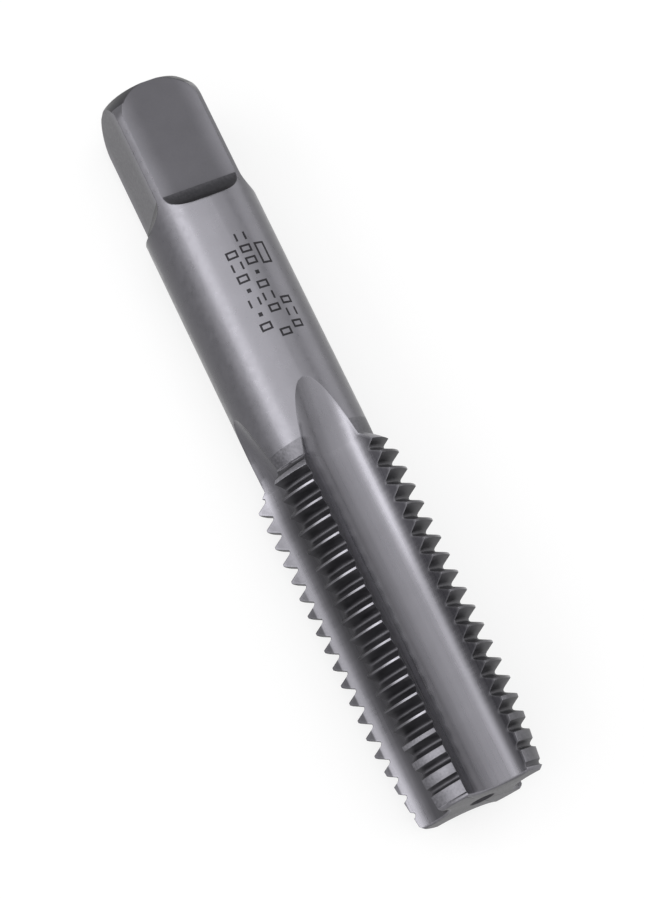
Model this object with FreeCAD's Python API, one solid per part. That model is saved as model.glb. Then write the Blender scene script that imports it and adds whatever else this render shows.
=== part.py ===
# A four-flute hand tap for a coarse metric thread, one solid.
# It lies as it comes to rest on a bench: one flute faces down, so that two lands
# touch, and the shank's far end touches too. The thread end points to +X.
# All lengths are in millimetres and all angles in degrees.
import FreeCAD, Part
import math
import os

from FreeCAD import Vector

# Whole tool
overall_length = 124.6
shank_diameter = 19.3

# Thread: a 60 degree form with a flat crest, right-handed
major_diameter = 24.0
pitch = 3.0
thread_depth = 1.84
crest_width = 0.375
flank_angle = 30.0
first_crest = 2.07            # height of the first crest above the point, on a flute's centre line

# Lengths along the tool, from the point
lead_length = 13.0            # the tapered teeth that start the thread
full_thread_end = 55.4        # where the back of the thread begins to slope down to the shank
back_slope = 45.0             # its angle to the axis
back_bow = 0.08               # how far that slope swells out of straight

# Point: the thread end's face
point_diameter = 20.9
point_bevel = 0.6

# Flutes
flute_count = 4
flute_angle = 60.0            # width of a flute, seen from the axis
web_diameter = 12.0
flute_length = 69.0           # from the point to where the flute leaves the shank
run_out_slope = 17.0          # angle of the ramp at the flute's end, to the axis

# Driving square
square_length = 19.2
square_across_flats = 14.48
square_turn = -4.0            # how far a flat faces from the middle of a flute
square_cutter_radius = 3.9    # of the curved end of each flat

# Rounded edge round the shank's end
shank_end_length = 5.2
shank_end_slope = 23.9        # its angle to the axis
shank_end_bow = 0.6           # how far it swells out of straight

# Centre holes, one in each end
centre_hole_diameter = 4.0
centre_hole_bottom = 1.6      # diameter of its flat bottom
countersink_angle = 30.0      # half of the countersink's angle

# How far cutting shapes run past the surfaces that they cut
clear = 1.0

# The groove's joints are kept away from the blank's seam, where they would spoil the cut
groove_turn = 90.0

major_radius = major_diameter / 2
shank_radius = shank_diameter / 2
root_radius = major_radius - thread_depth
point_radius = point_diameter / 2
flat_distance = square_across_flats / 2
axis = Vector(0, 0, 1)
centre = Vector(0, 0, 0)


def tangent(degrees):
    return math.tan(math.radians(degrees))


def line(start, end):
    return Part.LineSegment(start, end).toShape()


def bowed_line(start, end, bow):
    """An arc from start to end in the XZ plane; its middle lies outside their line by the bow."""
    along = end - start
    outward = Vector(along.z, 0, -along.x).normalize()
    return Part.Arc(start, (start + end) / 2 + outward * bow, end).toShape()


def turned(outline, bows={}):
    """A solid of revolution from corners given as radius and height.

    The bows say by how much the line that leaves a corner swells, by the corner's number.
    """
    corners = [Vector(radius, 0, height) for radius, height in outline]
    edges = []
    for index, corner in enumerate(corners):
        following = corners[(index + 1) % len(corners)]
        if index in bows:
            edges.append(bowed_line(corner, following, bows[index]))
        else:
            edges.append(line(corner, following))
    return Part.Face(Part.Wire(edges)).revolve(centre, axis, 360)


def blank():
    """The tool as it leaves the lathe."""
    back_length = (major_radius - shank_radius) / tangent(back_slope)
    end_radius = shank_radius - shank_end_length * tangent(shank_end_slope)
    outline = [
        (0, 0),
        (point_radius - point_bevel, 0),
        (point_radius, point_bevel),
        (major_radius, lead_length),
        (major_radius, full_thread_end),
        (shank_radius, full_thread_end + back_length),
        (shank_radius, overall_length - shank_end_length),
        (end_radius, overall_length),
        (0, overall_length),
    ]
    back_corner = 4
    shank_end_corner = 6
    return turned(outline, {back_corner: back_bow, shank_end_corner: shank_end_bow})


def thread_groove():
    """The space between two turns of the thread, as one long helical solid."""
    slope = tangent(flank_angle)
    outside = 0.8 * crest_width / 2 / slope       # stops short of the next turn's groove
    half_root = (pitch - crest_width) / 2 - thread_depth * slope
    half_outside = (pitch - crest_width) / 2 + outside * slope
    turns = math.ceil(full_thread_end / pitch) + 4
    start = first_crest + pitch / 2 - 3 * pitch
    corners = [
        Vector(root_radius, 0, start - half_root),
        Vector(major_radius + outside, 0, start - half_outside),
        Vector(major_radius + outside, 0, start + half_outside),
        Vector(root_radius, 0, start + half_root),
    ]
    profile = Part.makePolygon(corners + [corners[0]])
    path = []
    for index in range(turns):
        turn = Part.makeHelix(pitch, pitch, root_radius).Edges[0]
        turn.translate(Vector(0, 0, start + index * pitch))
        path.append(turn)
    groove = Part.Wire(path).makePipeShell([profile], True, True)
    groove.rotate(centre, axis, groove_turn)
    groove.translate(Vector(0, 0, pitch * groove_turn / 360))
    return groove


def flute_section():
    """A flute across the tool: straight sides along radii, and a round bottom between them."""
    half = math.radians(flute_angle / 2)
    web_radius = web_diameter / 2
    bottom_radius = web_radius * math.sin(half) / (1 - math.sin(half))
    bottom_centre = web_radius + bottom_radius
    touch = bottom_centre * math.cos(half)
    reach = (major_radius + clear) / math.cos(half)
    left_touch = Vector(touch * math.cos(half), -touch * math.sin(half), 0)
    right_touch = Vector(touch * math.cos(half), touch * math.sin(half), 0)
    left_outside = Vector(reach * math.cos(half), -reach * math.sin(half), 0)
    right_outside = Vector(reach * math.cos(half), reach * math.sin(half), 0)
    bottom = Vector(web_radius, 0, 0)
    return Part.Face(Part.Wire([
        line(left_outside, left_touch),
        Part.Arc(left_touch, bottom, right_touch).toShape(),
        line(right_touch, right_outside),
        line(right_outside, left_outside),
    ]))


def flute_cutter():
    """A straight channel from the point, then a ramp that climbs out of the shank."""
    ramp = (shank_radius - web_diameter / 2) / tangent(run_out_slope)
    ramp_start = flute_length - ramp
    section = flute_section()
    section.translate(Vector(0, 0, ramp_start))
    channel = section.extrude(Vector(0, 0, -ramp_start - clear))
    climb = section.extrude(Vector(tangent(run_out_slope), 0, 1) * 2 * ramp)
    return channel.fuse(climb)


def flat_cutter():
    """What one flat of the square removes, with the curve that its cutter leaves."""
    start = overall_length - square_length
    outside = shank_radius + clear
    top = overall_length + clear
    arc_centre = flat_distance + square_cutter_radius
    turn = math.acos((arc_centre - outside) / square_cutter_radius)

    def on_arc(angle):
        return Vector(arc_centre - square_cutter_radius * math.cos(angle), 0,
                      start - square_cutter_radius * math.sin(angle))

    outline = Part.Wire([
        line(Vector(flat_distance, 0, top), on_arc(0)),
        Part.Arc(on_arc(0), on_arc(turn / 2), on_arc(turn)).toShape(),
        line(on_arc(turn), Vector(outside, 0, top)),
        line(Vector(outside, 0, top), Vector(flat_distance, 0, top)),
    ])
    slab = Part.Face(outline).extrude(Vector(0, 2 * outside, 0))
    slab.translate(Vector(0, -outside, 0))
    return slab


def centre_hole():
    """A countersunk centre that starts at the origin and goes up."""
    mouth = centre_hole_diameter / 2
    bottom = centre_hole_bottom / 2
    depth = (mouth - bottom) / tangent(countersink_angle)
    return turned([
        (0, -clear),
        (mouth, -clear),
        (mouth, 0),
        (bottom, depth),
        (0, depth),
    ])


def repeated(shape, count, first_angle):
    """Copies of a shape, evenly spaced round the axis."""
    copies = []
    for index in range(count):
        copy = shape.copy()
        copy.rotate(centre, axis, first_angle + index * 360 / count)
        copies.append(copy)
    return copies


def tap():
    """The whole tool, standing on its point."""
    body = blank().cut(thread_groove())
    body = body.cut(repeated(flute_cutter(), flute_count, 0))
    body = body.cut(repeated(flat_cutter(), 4, square_turn))
    point_hole = centre_hole()
    shank_hole = centre_hole().mirror(centre, axis)
    shank_hole.translate(Vector(0, 0, overall_length))
    return body.cut([point_hole, shank_hole])


def laid_down(shape):
    """The tool on its side, with its middle over the origin and its lowest point at height 0."""
    land_height = major_radius * math.cos(math.radians(flute_angle / 2))
    flat_start = overall_length - square_length - square_cutter_radius
    tilt = math.degrees(math.atan((land_height - shank_radius) / (flat_start - full_thread_end)))
    shape.rotate(centre, Vector(0, 1, 0), -90 - tilt)
    points = shape.tessellate(0.01)[0]
    low = [min(point[i] for point in points) for i in range(3)]
    high = [max(point[i] for point in points) for i in range(3)]
    shape.translate(Vector(-(low[0] + high[0]) / 2, -(low[1] + high[1]) / 2, -low[2]))
    return shape


os.makedirs("parts", exist_ok=True)
thread_tap = laid_down(tap())
thread_tap.exportStep("parts/thread_tap.step")
print("solids", len(thread_tap.Solids), "valid", thread_tap.isValid(), "volume", round(thread_tap.Volume, 1))
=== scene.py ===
import math

import bmesh
import bpy
import numpy as np
from mathutils import Matrix, Vector


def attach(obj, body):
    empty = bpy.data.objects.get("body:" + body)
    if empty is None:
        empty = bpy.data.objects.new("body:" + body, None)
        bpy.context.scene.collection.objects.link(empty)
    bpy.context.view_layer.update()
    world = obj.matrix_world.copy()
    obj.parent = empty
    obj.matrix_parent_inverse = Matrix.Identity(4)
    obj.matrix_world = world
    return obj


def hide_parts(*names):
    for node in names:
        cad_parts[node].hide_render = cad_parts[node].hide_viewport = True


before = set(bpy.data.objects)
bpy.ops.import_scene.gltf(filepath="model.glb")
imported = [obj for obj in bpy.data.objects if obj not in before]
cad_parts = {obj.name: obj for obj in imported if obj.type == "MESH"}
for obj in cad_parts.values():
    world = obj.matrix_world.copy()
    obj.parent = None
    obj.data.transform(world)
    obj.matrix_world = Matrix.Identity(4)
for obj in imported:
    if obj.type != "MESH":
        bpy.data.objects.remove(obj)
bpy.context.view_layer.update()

MM = 0.001

# Sizes of the tool, as its solid has them
overall_length = 124.6
shank_radius = 9.65
major_radius = 12.0
pitch = 3.0
thread_depth = 1.84
crest_width = 0.375
flank_angle = 30.0
first_crest = 2.07
lead_length = 13.0
full_thread_end = 55.4
back_slope = 45.0
back_bow = 0.08
point_radius = 10.45
point_bevel = 0.6
flute_half_angle = 30.0
web_radius = 6.0
flute_length = 69.0
run_out_slope = 17.0
square_length = 19.2
flat_distance = 7.24
square_turn = -4.0
square_cutter_radius = 3.9
shank_end_length = 5.2
shank_end_slope = 23.9
shank_end_bow = 0.6
hole_radius = 2.0
hole_bottom_radius = 0.8
countersink_angle = 30.0

# Where the solid lies: the middle of the point's face, and the axis's slope to the floor
point_centre = Vector((62.282, 0.0, 11.295))
tilt = 0.9224

# Softened edges
edge = 0.05
flank_edge = 0.03
root_fillet = 0.24
flank_fillet = 0.2
end_bevel = 0.3
hole_edge = 0.1
merge_distance = 0.002


def tangent(degrees):
    return math.tan(math.radians(degrees))


root_radius = major_radius - thread_depth
back_end = full_thread_end + (major_radius - shank_radius) / tangent(back_slope)
shank_end_start = overall_length - shank_end_length
shank_end_radius = shank_radius - shank_end_length * tangent(shank_end_slope)
flat_start = overall_length - square_length
half_sine = math.sin(math.radians(flute_half_angle))
bottom_radius = web_radius * half_sine / (1 - half_sine)
bottom_centre = web_radius + bottom_radius
bottom_half_arc = math.radians(90 - flute_half_angle)
ramp_start = flute_length - (shank_radius - web_radius) / tangent(run_out_slope)
hole_depth = (hole_radius - hole_bottom_radius) / tangent(countersink_angle)


# The turned blank and the thread

def swell(height, low, high, bow, slope):
    """Extra radius of a bowed line between two heights."""
    share = np.clip((height - low) / (high - low), 0, 1)
    return 4 * bow * share * (1 - share) / math.cos(math.radians(slope))


def blank_radius(height):
    heights = [0, point_bevel, lead_length, full_thread_end, back_end, shank_end_start, overall_length]
    radii = [point_radius - point_bevel, point_radius, major_radius, major_radius,
             shank_radius, shank_radius, shank_end_radius]
    straight = np.interp(height, heights, radii)
    back = swell(height, full_thread_end, back_end, back_bow, back_slope)
    end = swell(height, shank_end_start, overall_length, shank_end_bow, shank_end_slope)
    return straight + back + end


def thread_radius(height, angle):
    from_crest = np.mod(height - first_crest - pitch * angle / 360 + pitch / 2, pitch) - pitch / 2
    drop = (np.abs(from_crest) - crest_width / 2) / tangent(flank_angle)
    return np.clip(major_radius - drop, root_radius, major_radius)


def land_radius(height, angle):
    return np.minimum(blank_radius(height), thread_radius(height, angle))


# Heights of the rows of the mesh: a few at the point, then sixteen for each turn of the
# thread, then those of the shank and the square.

point_heights = np.array([0.0, 0.15, 0.3, 0.45])
point_rows = len(point_heights)
ROWS_PER_CREST = 16
CORNER_ROWS = [1, 5, 9, 13]
CREST_ROWS = range(5, 9)
crest_numbers = np.arange(-1, 20)
thread_rows = len(crest_numbers) * ROWS_PER_CREST
thread_rows_end = 61.9
RUN_OUT_ROWS = 17
SHANK_ROWS = 9
SHOULDER_ROWS = 14
FLAT_ROWS = 8
ROUNDING_ROWS = 17
# Rounds in which a height, or a window's edge, settles on its place
HEIGHT_ROUNDS = 12
EDGE_ROUNDS = 3


def middle_or_break(low, high, breaks):
    """The middle between two heights, or a bend of the blank where one lies between them."""
    middle = (low + high) / 2
    for height in breaks:
        middle = np.where((low + edge < height) & (height < high - edge), height, middle)
    return middle


def thread_heights(angle):
    """Heights of the thread's rows at an angle, which may differ from row to row."""
    number = np.repeat(crest_numbers, ROWS_PER_CREST)
    centre = first_crest + pitch * angle / 360 + pitch * number
    left = centre - crest_width / 2
    right = centre + crest_width / 2
    low, high = left, right
    for _ in range(HEIGHT_ROUNDS):
        low = left + (np.maximum(blank_radius(low), root_radius) - major_radius) * tangent(flank_angle)
        high = right + (major_radius - np.maximum(blank_radius(high), root_radius)) * tangent(flank_angle)
    root_low = left - thread_depth * tangent(flank_angle)
    root_high = right + thread_depth * tangent(flank_angle)
    root_bend = full_thread_end + (major_radius - root_radius) / tangent(back_slope)
    crest_middle = middle_or_break(low, high, [full_thread_end, back_end])
    groove_middle = middle_or_break(root_high, root_low + pitch, [root_bend, back_end])
    rows = [
        root_low - root_fillet, root_low, root_low + flank_fillet,
        (root_low + low) / 2,
        low - flank_edge, low, low + edge,
        crest_middle,
        high - edge, high, high + flank_edge,
        (root_high + high) / 2,
        root_high - flank_fillet, root_high, root_high + root_fillet,
        groove_middle,
    ]
    kind = np.tile(np.arange(ROWS_PER_CREST), len(crest_numbers))
    heights = np.choose(kind, rows)
    return np.maximum.accumulate(np.clip(heights, point_bevel, thread_rows_end))


def upper_heights():
    """Heights of the rows between the thread and the shank's end face."""
    run_out = np.linspace(thread_rows_end + 0.3, flute_length, RUN_OUT_ROWS)
    shank = np.linspace(flute_length + 1, flat_start - square_cutter_radius, SHANK_ROWS)
    first_sweep = math.acos((flat_distance + square_cutter_radius - shank_radius) / square_cutter_radius)
    sweep = np.linspace(first_sweep, 0, SHOULDER_ROWS)
    shoulder = flat_start - square_cutter_radius * np.sin(sweep)
    flats = np.linspace(flat_start + 0.5, shank_end_start, FLAT_ROWS)
    quarter = np.linspace(0, math.pi / 2, ROUNDING_ROWS)[1:]
    rounding = shank_end_start + shank_end_length * np.sin(quarter)
    return np.concatenate([run_out, shank, shoulder, flats, rounding])


upper = upper_heights()
row_count = point_rows + thread_rows + len(upper)


def row_heights(angle):
    if np.ndim(angle):
        angle = angle[point_rows:point_rows + thread_rows]
    return np.concatenate([point_heights, thread_heights(angle), upper])


# A window is where a flute or a flat cuts the blank. Places across it are measured
# along its section, from its middle.

window_middle_height = (flute_length + flat_start) / 2


def flute_lift(height):
    """How far the flute's section has climbed outward at a height."""
    return np.maximum(height - ramp_start, 0) * tangent(run_out_slope)


def flat_depth(height):
    below = np.clip(flat_start - height, 0, square_cutter_radius)
    return flat_distance + square_cutter_radius - np.sqrt(square_cutter_radius ** 2 - below ** 2)


def flute_reach(radius, height):
    """How far from its middle the flute's section reaches a radius."""
    centre = bottom_centre + flute_lift(height)
    cosine = (centre ** 2 + bottom_radius ** 2 - radius ** 2) / (2 * bottom_radius * centre)
    on_arc = bottom_radius * np.arccos(np.clip(cosine, math.cos(bottom_half_arc), 1))
    touch_x = centre - bottom_radius * math.cos(bottom_half_arc)
    touch_y = bottom_radius * math.sin(bottom_half_arc)
    half = math.radians(flute_half_angle)
    along = touch_x * math.cos(half) + touch_y * math.sin(half)
    beyond = np.sqrt(np.maximum(along ** 2 - touch_x ** 2 - touch_y ** 2 + radius ** 2, 0)) - along
    return on_arc + np.maximum(beyond, 0)


def flute_point(place, height):
    longest = bottom_radius * bottom_half_arc
    on_arc = np.clip(place, -longest, longest)
    beyond = place - on_arc
    turn = on_arc / bottom_radius
    half = math.radians(flute_half_angle)
    radius = bottom_radius + np.maximum(end_bevel - height, 0)
    x = bottom_centre + flute_lift(height) - radius * np.cos(turn) + np.abs(beyond) * math.cos(half)
    y = radius * np.sin(turn) + beyond * math.sin(half)
    return x, y


def window_reach(radius, height):
    flat = np.sqrt(np.maximum(radius ** 2 - flat_depth(height) ** 2, 0))
    return np.where(height < window_middle_height, flute_reach(radius, height), flat)


def window_point(place, height, radius_limit):
    """X and Y of a place in a window whose middle faces +X."""
    x, y = flute_point(place, height)
    is_flute = height < window_middle_height
    x = np.where(is_flute, x, flat_depth(height))
    y = np.where(is_flute, y, place)
    radius = np.hypot(x, y)
    inside = np.minimum(radius, radius_limit) / radius
    return x * inside, y * inside


def window_turn(height):
    """Windows turn a little between the flutes and the square."""
    share = np.clip((height - flute_length) / (flat_start - square_cutter_radius - flute_length), 0, 1)
    return square_turn * share


# The mesh: columns round the tool, rows along it

window_shares = np.linspace(0, 1, 27)
# Land columns lie closer together beside the windows, so that the shading turns evenly there
land_shares = (1 - np.cos(np.linspace(0, math.pi, 15)[1:-1])) / 2


def land_edge(window, side):
    """Angle, height and radius of the line between a window and the land beside it."""
    middle = 90 * window
    angle = middle + side * flute_half_angle
    helix = (angle + 180) % 360 - 180
    turns = angle - helix
    heights = row_heights(helix)
    angles = np.full(row_count, float(helix))
    for _ in range(EDGE_ROUNDS):
        radius = land_radius(heights, angles)
        reach = window_reach(radius, heights)
        x, y = window_point(reach, heights, radius)
        opening = np.degrees(np.arctan2(y, x))
        angles = middle + window_turn(heights) + side * opening - turns
        heights = row_heights(angles)
    return angles + turns, heights, land_radius(heights, angles), turns


def build_columns():
    """Lists of X, Y and Z columns, and for each column whether it is in a window."""
    columns = []
    kinds = []

    def add(angle, radius, height, kind):
        turn = np.radians(angle)
        columns.append(np.stack([radius * np.cos(turn), radius * np.sin(turn), height], axis=1))
        kinds.append(kind)

    for window in range(4):
        left = land_edge(window, -1)
        right = land_edge(window, 1)
        far = land_edge(window + 1, -1)
        middle = 90 * window
        # The window
        for share in window_shares:
            height = left[1] + (right[1] - left[1]) * share
            low = -np.maximum(window_reach(left[2], height) - edge, 0)
            high = np.maximum(window_reach(right[2], height) - edge, 0)
            x, y = window_point(low + (high - low) * share, height, blank_radius(height))
            angle = middle + window_turn(height) + np.degrees(np.arctan2(y, x))
            add(angle, np.hypot(x, y), height, "window")
        add(right[0], right[2], right[1], "edge")
        # The land
        inset = np.degrees(edge / right[2])
        start = right[0]
        width = far[0] - start
        offsets = [inset] + [width * share for share in land_shares] + [width - inset]
        for offset in offsets:
            angle = start + offset
            helix = angle - right[3]
            height = row_heights(helix)
            add(angle, land_radius(height, helix), height, "land")
        add(far[0], far[2], far[1], "edge")
    return np.stack(columns, axis=1), kinds


def soften(points, kinds):
    """Pulls the middle line of each corner in, along the rows and round the tool."""
    corner_rows = [point_rows + crest * ROWS_PER_CREST + row
                   for crest in range(len(crest_numbers)) for row in CORNER_ROWS]
    solid = [index for index, kind in enumerate(kinds) if kind != "window"]
    for row in corner_rows:
        if row + 1 < row_count:
            points[row, solid] = (points[row, solid] / 2
                                  + (points[row - 1, solid] + points[row + 1, solid]) / 4)
    count = len(kinds)
    for index, kind in enumerate(kinds):
        if kind == "edge":
            beside = points[:, index - 1] + points[:, (index + 1) % count]
            points[:, index] = points[:, index] / 2 + beside / 4
    return points


def end_rows(ring, face_height, inward):
    """Rows that close an end: its face, the countersunk hole and the hole's bottom."""
    turn = np.arctan2(ring[:, 1], ring[:, 0])
    rows = []
    for radius, depth in ((hole_radius + hole_edge, 0), (hole_radius, hole_edge),
                          (hole_bottom_radius, hole_depth), (0, hole_depth)):
        height = np.full(len(turn), face_height + inward * depth)
        rows.append(np.stack([radius * np.cos(turn), radius * np.sin(turn), height], axis=1))
    return rows


REGIONS = ["crest", "lead_crest", "back_crest", "flank", "flute", "neck", "shank", "shank_end",
           "flat", "side_flat", "shoulder", "end_face", "point_bevel", "hole"]
# Heights where one surface gives way to the next
lead_crest_end = lead_length - 1
back_foot = 57.3
neck_end = 60.4
shoulder_end = flat_start - 0.2
dark_end = 122.1


def region(row, column_is_window, height):
    """The name of the surface at a row and a column."""
    if row < point_rows:
        return "flute" if column_is_window and height > end_bevel else "point_bevel"
    row -= point_rows
    if row < thread_rows:
        if column_is_window:
            return "flute"
        if height > back_end:
            return "neck" if height < neck_end else "shank"
        if height > back_foot:
            return "back_crest"
        if row % ROWS_PER_CREST in CREST_ROWS:
            if height > full_thread_end:
                return "back_crest"
            return "lead_crest" if height < lead_crest_end else "crest"
        return "flank"
    if column_is_window and height < window_middle_height:
        return "flute"
    if column_is_window:
        return "shoulder" if height < shoulder_end else "flat"
    return "shank" if height < dark_end else "shank_end"


def build_tap():
    points, kinds = build_columns()
    points = soften(points, kinds)
    lower = end_rows(points[0], 0, 1)[::-1]
    higher = end_rows(points[-1], overall_length, -1)
    grid = np.concatenate([np.stack(lower), points, np.stack(higher)])
    rows, count = grid.shape[:2]
    columns_per_window = count // 4
    faces = []
    materials = []
    for row in range(rows - 1):
        for column in range(count):
            following = (column + 1) % count
            faces.append((row * count + column, row * count + following,
                          (row + 1) * count + following, (row + 1) * count + column))
            in_rows = row - len(lower)
            if in_rows < -1 or in_rows > row_count - 1:
                name = "hole"
            elif in_rows == -1 or in_rows == row_count - 1:
                name = "end_face"
            else:
                window = kinds[column] == "window" and kinds[following] == "window"
                name = region(in_rows, window, grid[row:row + 2, column, 2].mean())
                # The flats other than the first are given a lighter grey: painted light, for how light
                # falls on them.
                if name == "flat" and column >= columns_per_window:
                    name = "side_flat"
            materials.append(REGIONS.index(name))
    mesh = bpy.data.meshes.new("tap")
    mesh.from_pydata((grid.reshape(-1, 3) * MM).tolist(), [], faces)
    for name in REGIONS:
        mesh.materials.append(steel(name))
    mesh.polygons.foreach_set("material_index", materials)
    mesh.polygons.foreach_set("use_smooth", [True] * len(faces))
    shape = bmesh.new()
    shape.from_mesh(mesh)
    bmesh.ops.remove_doubles(shape, verts=shape.verts, dist=merge_distance * MM)
    shape.to_mesh(mesh)
    shape.free()
    mesh.transform(lying_matrix())
    tap = bpy.data.objects.new("tap", mesh)
    bpy.context.scene.collection.objects.link(tap)
    normals = tap.modifiers.new("even_normals", "WEIGHTED_NORMAL")
    normals.weight = 80
    normals.keep_sharp = True
    return tap


# Small etched marks on the shank: plain strokes, in rows along the tool

mark_height = 1.9
mark_width = 1.35
mark_pitch = 2.13
frame_half_length = 1.9
stroke = 0.33
mark_top = shank_radius + 0.012
mark_foot = shank_radius - 0.3
STROKE_COLUMNS = 5
MARK_ROWS = [
    # angle round the shank, distance of the first mark from the point, and the marks
    (21.2, 90.4, ["frame", "gap", "gap", "gap", "box", "pair", "box"]),
    (5.65, 93.8, ["pair", "box", "box", "dot", "box", "pair", "box", "gap", "box"]),
    (-9.8, 91.3, ["box", "pair", "box", "dot", "pair", "dot", "box"]),
]


def mark_strokes(shape):
    """Rectangles of a mark: low and high along the tool, then low and high across the row."""
    left = -mark_width / 2
    right = mark_width / 2
    low = -mark_height / 2
    high = mark_height / 2
    strokes = {
        "gap": [],
        "pair": [(left, right, low, low + stroke), (left, right, high - stroke, high)],
        "dot": [(-stroke, stroke, -stroke, stroke)],
        "box": frame_strokes(left, right, low, high),
        "frame": frame_strokes(-frame_half_length, frame_half_length, low, high),
    }
    return strokes[shape]


def frame_strokes(left, right, low, high):
    return [
        (left, left + stroke, low, high),
        (right - stroke, right, low, high),
        (left + stroke, right - stroke, low, low + stroke),
        (left + stroke, right - stroke, high - stroke, high),
    ]


def add_stroke(shape, near, far, low, high):
    """A thin closed slab that follows the shank, between two heights and two angles."""
    angles = np.linspace(low, high, STROKE_COLUMNS)
    rings = []
    for height in (near, far):
        for radius in (mark_foot, mark_top):
            ring = []
            for angle in angles:
                turn = math.radians(angle)
                place = Vector((radius * math.cos(turn), radius * math.sin(turn), height))
                ring.append(shape.verts.new(place * MM))
            rings.append(ring)
    near_foot, near_top, far_foot, far_top = rings
    around = [near_foot, near_top, far_top, far_foot]
    for first, second in zip(around, around[1:] + around[:1]):
        for index in range(len(angles) - 1):
            shape.faces.new((first[index], first[index + 1], second[index + 1], second[index]))
    shape.faces.new((near_foot[0], near_top[0], far_top[0], far_foot[0]))
    shape.faces.new((near_foot[-1], far_foot[-1], far_top[-1], near_top[-1]))


def build_marks():
    shape = bmesh.new()
    per_degree = math.radians(1) * shank_radius
    for row_angle, first, marks in MARK_ROWS:
        for index, mark in enumerate(marks):
            centre = first - index * mark_pitch
            for near, far, low, high in mark_strokes(mark):
                add_stroke(shape, centre + near, centre + far,
                           row_angle + low / per_degree, row_angle + high / per_degree)
    bmesh.ops.recalc_face_normals(shape, faces=shape.faces)
    mesh = bpy.data.meshes.new("etched_marks")
    shape.to_mesh(mesh)
    shape.free()
    mesh.materials.append(steel("etched"))
    mesh.transform(lying_matrix())
    marks = bpy.data.objects.new("etched_marks", mesh)
    bpy.context.scene.collection.objects.link(marks)
    return marks


def lying_matrix():
    """Takes the tool's own frame to where the tool lies."""
    slope = math.radians(tilt)
    along = Vector((-math.cos(slope), 0, -math.sin(slope)))
    up = Vector((-math.sin(slope), 0, math.cos(slope)))
    across = Vector((0, 1, 0))
    turn = Matrix((up, across, along)).transposed().to_4x4()
    return Matrix.Translation(point_centre * MM) @ turn


# Materials

STEEL_TINT = (1.0, 0.98, 1.075)
# The grey levels carry part of the light and shade on each surface: painted light and shade, such as the
# darker lead crests, the lighter back crests and the lighter side flats.
STEEL = {
    # name: grey level, roughness, tone variation, bump
    "crest": (0.125, 0.24, 0.35, 0.12),
    "lead_crest": (0.086, 0.42, 0.30, 0.25),
    "back_crest": (0.170, 0.42, 0.30, 0.25),
    "flank": (0.050, 0.50, 0.30, 0.20),
    "flute": (0.079, 0.30, 0.06, 0.04),
    "neck": (0.080, 0.40, 0.30, 0.25),
    "shank": (0.110, 0.31, 0.04, 0.01),
    "shank_end": (0.045, 0.38, 0.12, 0.10),
    "flat": (0.057, 0.42, 0.07, 0.06),
    "side_flat": (0.090, 0.42, 0.07, 0.06),
    "shoulder": (0.040, 0.45, 0.20, 0.15),
    "end_face": (0.055, 0.45, 0.20, 0.15),
    "point_bevel": (0.140, 0.50, 0.20, 0.15),
    "hole": (0.040, 0.45, 0.20, 0.15),
    "etched": (0.020, 0.55, 0.20, 0.15),
}
# How fine the grain is across and along the tool, in cycles per metre
GRAIN = {
    "flute": (2500, 60),
    "shank": (900, 900),
    "crest": (150, 3000),
    "flank": (400, 3000),
}
EVEN_GRAIN = (2500, 2500)
grain_detail = 3.0
# Broad soft patches, in cycles per metre
cloud_scale = 220.0
cloud_detail = 5.0
# The part of each noise's range that is spread over the tones, and over the gloss
TONE_RANGE = (0.7, 1.3)
GLOSS_RANGE = (0.3, 0.7)
gloss_spread = 0.05
bump_distance = 0.05


# Painted light and shade: lighter and darker places, each a ramp: where it starts, where it ends, and the
# tone at both.
# They are painted highlights and painted shade that stand for uneven light. Places across the tool are in
# millimetres from its axis, those along it from the point's face, and the crest's in degrees from a
# flute's middle.
FLAT_EDGE = (3.2, 7.6, 1.0, 1.9)
NEAR_WALL = (-5.4, -2.2, 3.0, 1.0)
FAR_WALL = (3.5, 4.8, 1.0, 0.65)
HIGHLIGHT_STREAK = (2.0, 4.2, 0.0, 1.0)
HIGHLIGHT_STREAK_LENGTH = (29.0, 46.0, 0.0, 0.75)
SIDE_BOTTOM = (-5.2, -4.4, 1.0, 0.62)
SIDE_RUN_OUT = (50.0, 62.0, 1.0, 2.4)
SIDE_POINT = (3.0, 22.0, 1.5, 1.0)
SIDE_TIPS = (10.55, 10.85, 1.0, 0.36)
SIDE_TIPS_LENGTH = (36.0, 46.0, 1.0, 0.0)
CREST_HEEL = (43.0, 59.0, 0.5, 1.0)
upper_flute_height = 6.4
side_flute_distance = 6.0


def math_node(nodes, link, operation, first, second=None):
    node = nodes.new("ShaderNodeMath")
    node.operation = operation
    for socket, value in zip(node.inputs, (first, second)):
        if isinstance(value, float):
            socket.default_value = value
        elif value is not None:
            link(value, socket)
    return node.outputs[0]


def ramp(nodes, link, value, start, end, low, high, course="SMOOTHSTEP"):
    """A socket that goes from low to high while the value goes from start to end."""
    node = nodes.new("ShaderNodeMapRange")
    node.interpolation_type = course
    node.inputs["From Min"].default_value = start
    node.inputs["From Max"].default_value = end
    node.inputs["To Min"].default_value = low
    node.inputs["To Max"].default_value = high
    link(value, node.inputs["Value"])
    return node.outputs["Result"]


def length_ramp(nodes, link, value, start, end, low, high):
    """A ramp along a length, with its start and end in millimetres."""
    return ramp(nodes, link, value, start * MM, end * MM, low, high)


def parts_of(nodes, link, place):
    parts = nodes.new("ShaderNodeSeparateXYZ")
    link(place, parts.inputs["Vector"])
    return parts.outputs


def product(nodes, link, first, *others):
    for other in others:
        first = math_node(nodes, link, "MULTIPLY", first, other)
    return first


def only_where(nodes, link, share, tone):
    """The tone where the share is 1, nothing of it where the share is 0, and between them a mix."""
    change = math_node(nodes, link, "SUBTRACT", tone, 1.0)
    return math_node(nodes, link, "ADD", product(nodes, link, share, change), 1.0)


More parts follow.
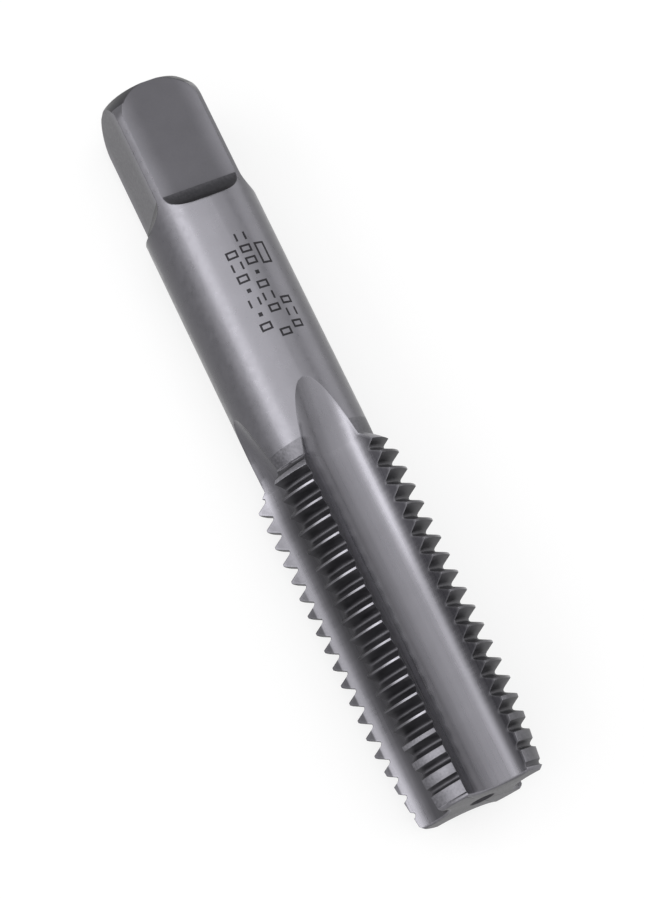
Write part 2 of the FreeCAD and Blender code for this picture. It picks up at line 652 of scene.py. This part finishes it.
def distance_from_axis(nodes, link, place):
    across = nodes.new("ShaderNodeVectorMath")
    across.operation = "MULTIPLY"
    across.inputs[1].default_value = (1, 1, 0)
    link(place, across.inputs[0])
    length = nodes.new("ShaderNodeVectorMath")
    length.operation = "LENGTH"
    link(across.outputs["Vector"], length.inputs[0])
    return length.outputs["Value"]


def painted_flat_highlight(nodes, link, place):
    """Painted highlight: lighter toward the long edges of the flats."""
    turn = nodes.new("ShaderNodeVectorRotate")
    turn.rotation_type = "Z_AXIS"
    turn.inputs["Angle"].default_value = -math.radians(square_turn)
    link(place, turn.inputs["Vector"])
    parts = parts_of(nodes, link, turn.outputs["Vector"])
    sides = [math_node(nodes, link, "ABSOLUTE", parts[name]) for name in ("X", "Y")]
    across = math_node(nodes, link, "MINIMUM", *sides)
    return length_ramp(nodes, link, across, *FLAT_EDGE)


def painted_upper_flute_light(nodes, link, parts):
    """Painted light and shade: a lighter near wall, a darker far wall, and a painted highlight streak
    near the flute's end.
    """
    near = length_ramp(nodes, link, parts["Y"], *NEAR_WALL)
    far = length_ramp(nodes, link, parts["Y"], *FAR_WALL)
    streak = product(nodes, link, length_ramp(nodes, link, parts["Y"], *HIGHLIGHT_STREAK),
                     length_ramp(nodes, link, parts["Z"], *HIGHLIGHT_STREAK_LENGTH))
    brighter = math_node(nodes, link, "ADD", streak, 1.0)
    return product(nodes, link, near, far, brighter)


def painted_side_flute_light(nodes, link, parts, from_axis):
    """Painted shade at its bottom and at the teeth's tips, and painted light at the point and where it
    runs out.
    """
    bottom = length_ramp(nodes, link, parts["X"], *SIDE_BOTTOM)
    run_out = length_ramp(nodes, link, parts["Z"], *SIDE_RUN_OUT)
    point = length_ramp(nodes, link, parts["Z"], *SIDE_POINT)
    tips = length_ramp(nodes, link, from_axis, *SIDE_TIPS)
    tipped = only_where(nodes, link, length_ramp(nodes, link, parts["Z"], *SIDE_TIPS_LENGTH), tips)
    return product(nodes, link, bottom, run_out, point, tipped)


# Painted light and shade on the flutes: the upper flute's walls and the side flute's bottom, tips, point
# and run-out.
def painted_flute_light(nodes, link, place):
    parts = parts_of(nodes, link, place)
    from_axis = distance_from_axis(nodes, link, place)
    is_upper = math_node(nodes, link, "GREATER_THAN", parts["X"], upper_flute_height * MM)
    is_side = math_node(nodes, link, "LESS_THAN", parts["Y"], -side_flute_distance * MM)
    upper = only_where(nodes, link, is_upper, painted_upper_flute_light(nodes, link, parts))
    side = only_where(nodes, link, is_side, painted_side_flute_light(nodes, link, parts, from_axis))
    return product(nodes, link, upper, side)


def painted_crest_highlight(nodes, link, place):
    """Painted highlight: brighter toward the heel of each land."""
    parts = parts_of(nodes, link, place)
    angle = math_node(nodes, link, "ARCTAN2", parts["Y"], parts["X"])
    positive = math_node(nodes, link, "ADD", angle, 2 * math.pi)
    from_flute = math_node(nodes, link, "MODULO", positive, math.pi / 2)
    start, end, low, high = CREST_HEEL
    return ramp(nodes, link, from_flute, math.radians(start), math.radians(end), low, high)


# Painted light and shade for the tones of the flats, the flutes and the crests
PAINTED_LIGHT = {"flat": painted_flat_highlight, "side_flat": painted_flat_highlight, "flute": painted_flute_light, "crest": painted_crest_highlight}


def place_on_tool(nodes, link):
    """A socket with the place in the tool's own frame, in metres."""
    coordinates = nodes.new("ShaderNodeTexCoord")
    place = nodes.new("ShaderNodeMapping")
    place.vector_type = "TEXTURE"
    place.inputs["Location"].default_value = point_centre * MM
    place.inputs["Rotation"].default_value = lying_matrix().to_euler()
    link(coordinates.outputs["Object"], place.inputs["Vector"])
    return place.outputs["Vector"]


def stretched(nodes, link, place, across, along):
    node = nodes.new("ShaderNodeMapping")
    node.inputs["Scale"].default_value = (across, across, along)
    link(place, node.inputs["Vector"])
    return node.outputs["Vector"]


def noise(nodes, link, place, scale, detail):
    node = nodes.new("ShaderNodeTexNoise")
    node.inputs["Scale"].default_value = scale
    node.inputs["Detail"].default_value = detail
    link(place, node.inputs["Vector"])
    return node.outputs["Fac"]


def tinted(nodes, link, grey, strength):
    """The steel's colour at a grey level, made lighter or darker by a strength."""
    node = nodes.new("ShaderNodeVectorMath")
    node.operation = "SCALE"
    node.inputs[0].default_value = [grey * part for part in STEEL_TINT]
    link(strength, node.inputs["Scale"])
    return node.outputs["Vector"]


def relief(nodes, link, height, strength):
    node = nodes.new("ShaderNodeBump")
    node.inputs["Strength"].default_value = strength
    node.inputs["Distance"].default_value = bump_distance * MM
    link(height, node.inputs["Height"])
    return node.outputs["Normal"]


def steel(name):
    grey, roughness, variation, bump = STEEL[name]
    across, along = GRAIN.get(name, EVEN_GRAIN)
    material = bpy.data.materials.new("steel_" + name)
    material.use_nodes = True
    nodes = material.node_tree.nodes
    link = material.node_tree.links.new
    place = place_on_tool(nodes, link)
    grain = noise(nodes, link, stretched(nodes, link, place, across, along), 1.0, grain_detail)
    clouds = noise(nodes, link, place, cloud_scale, cloud_detail)
    both = math_node(nodes, link, "ADD", grain, clouds)
    tone = ramp(nodes, link, both, *TONE_RANGE, 1 - variation, 1 + variation, "LINEAR")
    # Painted highlights and painted shade multiply the tone on these surfaces
    if name in PAINTED_LIGHT:
        tone = product(nodes, link, tone, PAINTED_LIGHT[name](nodes, link, place))
    gloss = ramp(nodes, link, grain, *GLOSS_RANGE,
                 roughness - gloss_spread, roughness + gloss_spread, "LINEAR")
    shader = nodes["Principled BSDF"]
    shader.inputs["Metallic"].default_value = 1.0
    link(tinted(nodes, link, grey, tone), shader.inputs["Base Color"])
    link(gloss, shader.inputs["Roughness"])
    link(relief(nodes, link, grain, bump), shader.inputs["Normal"])
    return material


# Surroundings

floor_half_size = 4.0
floor_grey = 0.17
floor_glow = 0.74
world_light = 0.2
world_seen = 1.0


def seen_directly(nodes, link):
    """A socket that is 1 for camera, glossy and transmission rays, and 0 for others."""
    rays = nodes.new("ShaderNodeLightPath").outputs
    camera_or_glossy = math_node(nodes, link, "MAXIMUM", rays["Is Camera Ray"], rays["Is Glossy Ray"])
    return math_node(nodes, link, "MAXIMUM", camera_or_glossy, rays["Is Transmission Ray"])


def make_floor():
    """The surface that the tool lies on. It glows only where it is seen, directly or in the metal."""
    far = floor_half_size
    corners = [(-far, -far, 0), (far, -far, 0), (far, far, 0), (-far, far, 0)]
    mesh = bpy.data.meshes.new("floor")
    mesh.from_pydata(corners, [], [(0, 1, 2, 3)])
    floor = bpy.data.objects.new("floor", mesh)
    bpy.context.scene.collection.objects.link(floor)
    material = bpy.data.materials.new("pale_floor")
    material.use_nodes = True
    nodes = material.node_tree.nodes
    link = material.node_tree.links.new
    shader = nodes["Principled BSDF"]
    shader.inputs["Base Color"].default_value = (floor_grey, floor_grey, floor_grey, 1)
    shader.inputs["Roughness"].default_value = 0.9
    shader.inputs["Specular IOR Level"].default_value = 0.0
    shader.inputs["Emission Color"].default_value = (1, 1, 1, 1)
    glow = product(nodes, link, seen_directly(nodes, link), floor_glow)
    link(glow, shader.inputs["Emission Strength"])
    mesh.materials.append(material)


def make_world():
    world = bpy.data.worlds.new("studio")
    bpy.context.scene.world = world
    world.use_nodes = True
    nodes = world.node_tree.nodes
    link = world.node_tree.links.new
    background = nodes["Background"]
    background.inputs["Color"].default_value = (1, 1, 1, 1)
    seen = seen_directly(nodes, link)
    level = ramp(nodes, link, seen, 0.0, 1.0, world_light, world_seen, "LINEAR")
    link(level, background.inputs["Strength"])


# Camera: where it stands, and its own right and up directions
camera_place = Vector((110.902, -158.524, 416.858))
camera_right = Vector((0.41946, 0.87720, 0.23362))
camera_up = Vector((-0.87530, 0.32262, 0.36023))
camera_lens = 116.18


def make_camera():
    data = bpy.data.cameras.new("camera")
    data.lens = camera_lens
    data.sensor_width = 36.0
    camera = bpy.data.objects.new("camera", data)
    bpy.context.scene.collection.objects.link(camera)
    back = camera_right.cross(camera_up)
    turn = Matrix((camera_right, camera_up, back)).transposed().to_4x4()
    camera.matrix_world = Matrix.Translation(camera_place * MM) @ turn
    bpy.context.scene.camera = camera


# Lamps, in metres and watts: all are as long and as far away as each other, and face one place
lamp_distance = 2.0
lamp_length = 3.0
lamp_target = Vector((0, 0, 0.01))
LAMPS = [
    # name, angle round the tool from straight up, width and power; positive angles go to +Y
    ("key_skirt", -79.0, 0.63, 6.0),
    ("key_strip", -56.5, 0.78, 37.0),
    ("soft_near", -24.5, 1.66, 40.5),
    ("soft_top", 9.0, 0.7, 14.5),
    ("soft_far", 33.0, 0.92, 11.0),
    ("side_far", 72.0, 1.15, 15.0),
]


def make_lamp(name, angle, width, power):
    data = bpy.data.lights.new(name, "AREA")
    data.shape = "RECTANGLE"
    data.size = width
    data.size_y = lamp_length
    data.energy = power
    lamp = bpy.data.objects.new(name, data)
    bpy.context.scene.collection.objects.link(lamp)
    turn = math.radians(angle)
    place = Vector((0, math.sin(turn), math.cos(turn))) * lamp_distance + lamp_target
    back = (place - lamp_target).normalized()
    across = Vector((1, 0, 0)).cross(back).normalized()
    along = back.cross(across)
    facing = Matrix((across, along, back)).transposed().to_4x4()
    lamp.matrix_world = Matrix.Translation(place) @ facing


make_floor()
make_world()
make_camera()
for lamp_settings in LAMPS:
    make_lamp(*lamp_settings)

tap = build_tap()
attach(tap, "root")
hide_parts("thread_tap")

etched_marks = build_marks()
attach(etched_marks, "root")

bpy.context.scene.view_settings.view_transform = "Standard"
